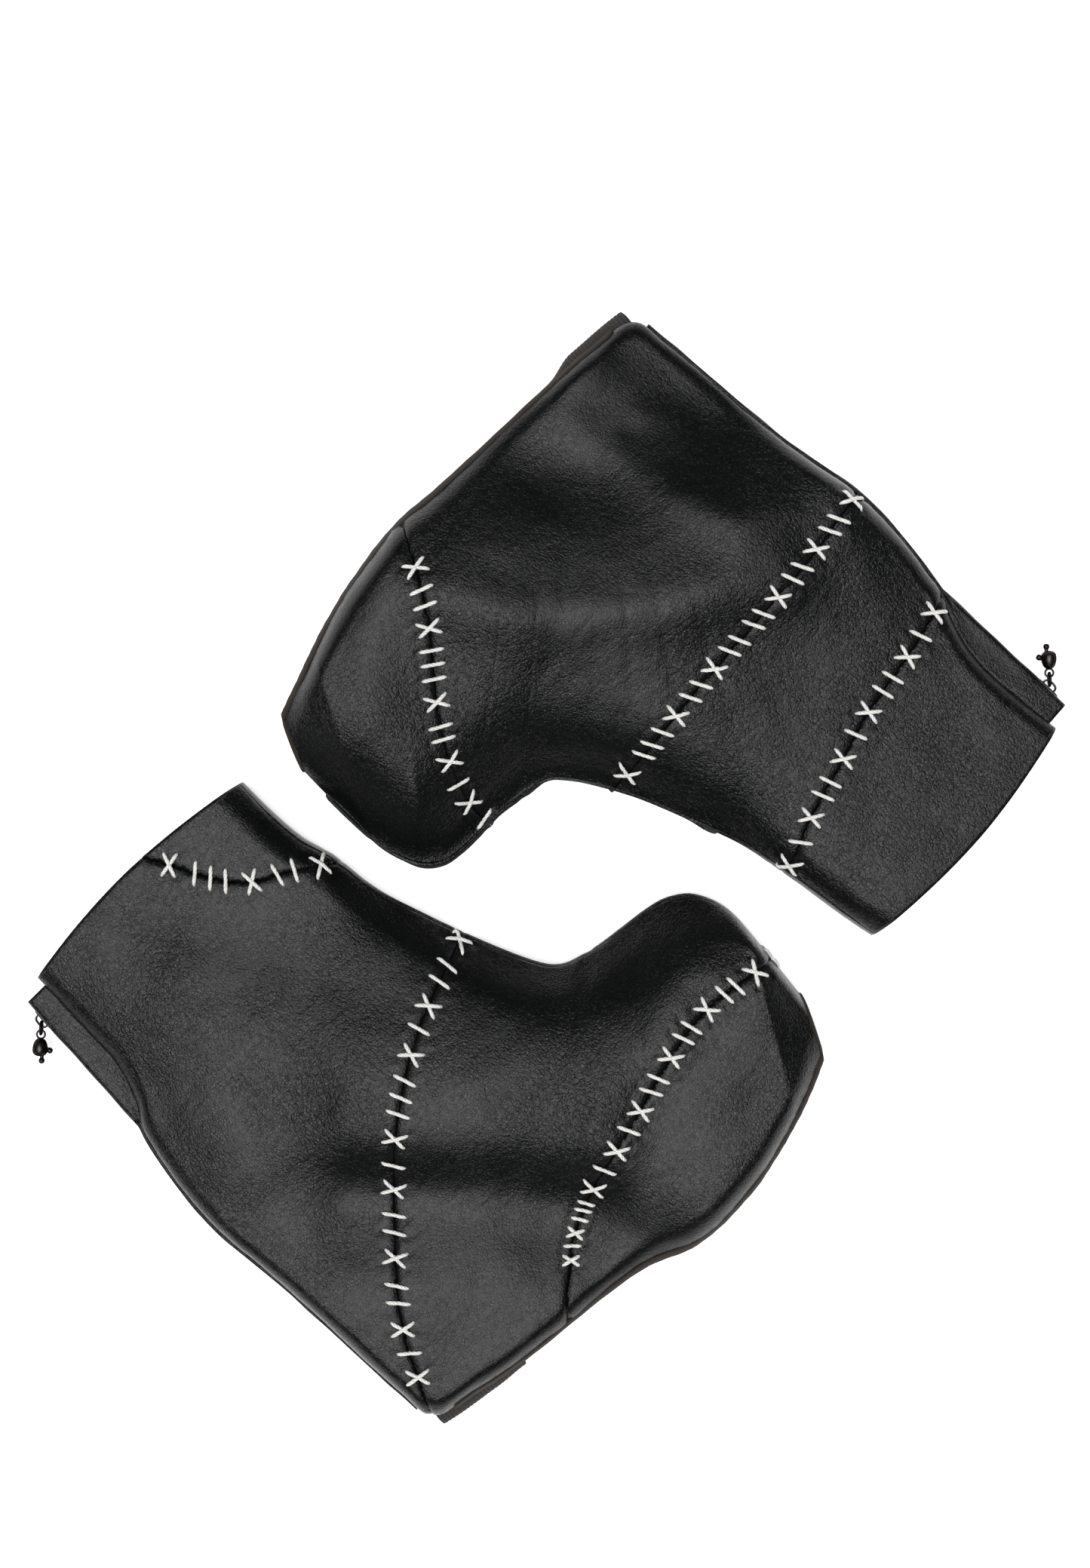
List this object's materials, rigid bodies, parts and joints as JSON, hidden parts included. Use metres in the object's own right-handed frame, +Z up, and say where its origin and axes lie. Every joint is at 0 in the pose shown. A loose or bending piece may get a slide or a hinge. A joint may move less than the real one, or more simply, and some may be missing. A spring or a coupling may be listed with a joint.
{
  "type": "pair of figure skate boot covers",
  "caption": "Pair of soft leathercloth covers for figure skating boots, lying flat, with cross-stitched seams, back zips and elastic heel straps.",
  "frame": {"origin": "on the table under the middle of the pair's box", "axes": "+X along the right cover's sole towards its toe, +Y up its shaft, +Z up from the table"},
  "size_m": [0.4446, 0.319, 0.0394],
  "materials": {
    "leathercloth": "black grained leathercloth, satin",
    "edge_binding": "matt brown-black binding tape",
    "elastic_webbing": "matt dark ribbed elastic",
    "zip_tape": "matt black woven tape",
    "zip_coil": "black nylon coil",
    "dark_metal": "polished black nickel",
    "thread": "thick off-white waxed thread",
    "sewing_thread": "fine black sewing thread"
  },
  "bodies": {
    "right_cover": {"right_outer_cuff_patch": "leathercloth", "right_outer_shaft_panel": "leathercloth", "right_outer_vamp_panel": "leathercloth", "right_outer_toe_panel": "leathercloth", "right_inner_cuff_patch": "leathercloth", "right_inner_shaft_panel": "leathercloth", "right_inner_vamp_panel": "leathercloth", "right_inner_toe_panel": "leathercloth", "right_outer_zip_strip": "leathercloth", "right_outer_zip_tape": "zip_tape", "right_outer_zip_coil": "zip_coil", "right_outer_zip_top_stop": "dark_metal", "right_inner_zip_strip": "leathercloth", "right_inner_zip_tape": "zip_tape", "right_inner_zip_coil": "zip_coil", "right_inner_zip_top_stop": "dark_metal", "right_zip_bottom_stop": "dark_metal", "right_sole_binding": "edge_binding", "right_heel_strap": "elastic_webbing"},
    "right_slider": {"right_zip_slider": "dark_metal"},
    "right_pull": {"right_pull_loop": "dark_metal"},
    "right_charm": {"right_pull_charm": "dark_metal"},
    "left_cover": {"left_inner_cuff_panel": "leathercloth", "left_inner_ankle_band": "leathercloth", "left_inner_quarter_panel": "leathercloth", "left_inner_toe_panel": "leathercloth", "left_outer_cuff_panel": "leathercloth", "left_outer_ankle_band": "leathercloth", "left_outer_quarter_panel": "leathercloth", "left_outer_toe_panel": "leathercloth", "left_inner_zip_strip": "leathercloth", "left_inner_zip_tape": "zip_tape", "left_inner_zip_coil": "zip_coil", "left_inner_zip_top_stop": "dark_metal", "left_outer_zip_strip": "leathercloth", "left_outer_zip_tape": "zip_tape", "left_outer_zip_coil": "zip_coil", "left_outer_zip_top_stop": "dark_metal", "left_zip_bottom_stop": "dark_metal", "left_sole_binding": "edge_binding", "left_heel_strap": "elastic_webbing"},
    "left_slider": {"left_zip_slider": "dark_metal"},
    "left_pull": {"left_pull_loop": "dark_metal"},
    "left_charm": {"left_pull_charm": "dark_metal"}
  },
  "joints": [
    {"name": "left_cover_lift", "type": "slide", "parent": "right_cover", "child": "left_cover", "axis": [0, 0, 1], "range_m": [0, 0.15]},
    {"name": "right_zip_run", "type": "hinge", "parent": "right_cover", "child": "right_slider", "pos_m": [1.2922, 0.01681, 0], "axis": [0, 0, 1], "range_deg": [0, 8.1]},
    {"name": "right_pull_swing", "type": "hinge", "parent": "right_slider", "child": "right_pull", "pos_m": [-0.20906, 0.11, 0.012], "axis": [0, 0, 1], "range_deg": [-90, 8]},
    {"name": "right_charm_tilt", "type": "hinge", "parent": "right_pull", "child": "right_charm", "pos_m": [-0.21326, 0.10616, 0.012], "axis": [-0.6749, 0.7379, 0], "range_deg": [0, 20]},
    {"name": "left_zip_run", "type": "hinge", "parent": "left_cover", "child": "left_slider", "pos_m": [-1.2936, -0.1279, 0], "axis": [0, 0, 1], "range_deg": [0, 8.1]},
    {"name": "left_pull_swing", "type": "hinge", "parent": "left_slider", "child": "left_pull", "pos_m": [0.21015, -0.09251, 0.012], "axis": [0, 0, 1], "range_deg": [-90, 8]},
    {"name": "left_charm_tilt", "type": "hinge", "parent": "left_pull", "child": "left_charm", "pos_m": [0.21401, -0.08832, 0.012], "axis": [0.7355, -0.6775, 0], "range_deg": [0, 20]}
  ]
}
